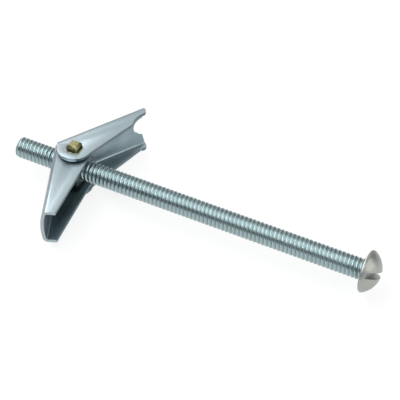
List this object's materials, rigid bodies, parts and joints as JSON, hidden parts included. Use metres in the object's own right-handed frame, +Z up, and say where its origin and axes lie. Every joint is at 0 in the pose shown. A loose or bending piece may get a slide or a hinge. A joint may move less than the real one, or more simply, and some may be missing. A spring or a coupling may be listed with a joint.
{
  "type": "spring toggle bolt",
  "caption": "Slotted round-head machine screw with a trunnion nut and sprung folding sheet-metal wings, for fixing to hollow walls.",
  "frame": {"origin": "centre of the underside of the screw's head, on the screw's axis", "axes": "+X along the screw, out through its head; +Z up along the axis that the wings turn on; +Y towards the tip of the outer wing"},
  "size_m": [0.1169, 0.0522, 0.018],
  "materials": {
    "screw": "zinc plated with clear blue chromate, bright on the thread's flanks, duller on the head",
    "trunnion_nut": "yellow-olive passivated, machined facets",
    "outer_wing": "pressed sheet steel, satin zinc plate with a pale blue tint",
    "inner_wing": "pressed sheet steel, satin zinc plate with a pale blue tint",
    "torsion_spring": "dark drawn spring wire"
  },
  "bodies": {
    "screw": {"screw": "screw"},
    "nut": {"trunnion_nut": "trunnion_nut", "torsion_spring": "torsion_spring"},
    "outer_wing": {"outer_wing": "outer_wing"},
    "inner_wing": {"inner_wing": "inner_wing"}
  },
  "joints": [
    {"name": "nut_travel", "type": "slide", "parent": "screw", "child": "nut", "axis": [1, 0, 0], "range_m": [-0.015, 0.066]},
    {"name": "outer_wing_fold", "type": "hinge", "parent": "nut", "child": "outer_wing", "pos_m": [-0.0935, 0, 0], "axis": [0, 0, 1], "range_deg": [-57, 0], "stiffness_Nm_per_rad": 0.01, "springref_deg": 34.38, "deforming": ["torsion_spring"]},
    {"name": "inner_wing_fold", "type": "hinge", "parent": "nut", "child": "inner_wing", "pos_m": [-0.0935, 0, 0], "axis": [0, 0, 1], "range_deg": [0, 64], "stiffness_Nm_per_rad": 0.01, "springref_deg": -34.38, "deforming": ["torsion_spring"]}
  ]
}
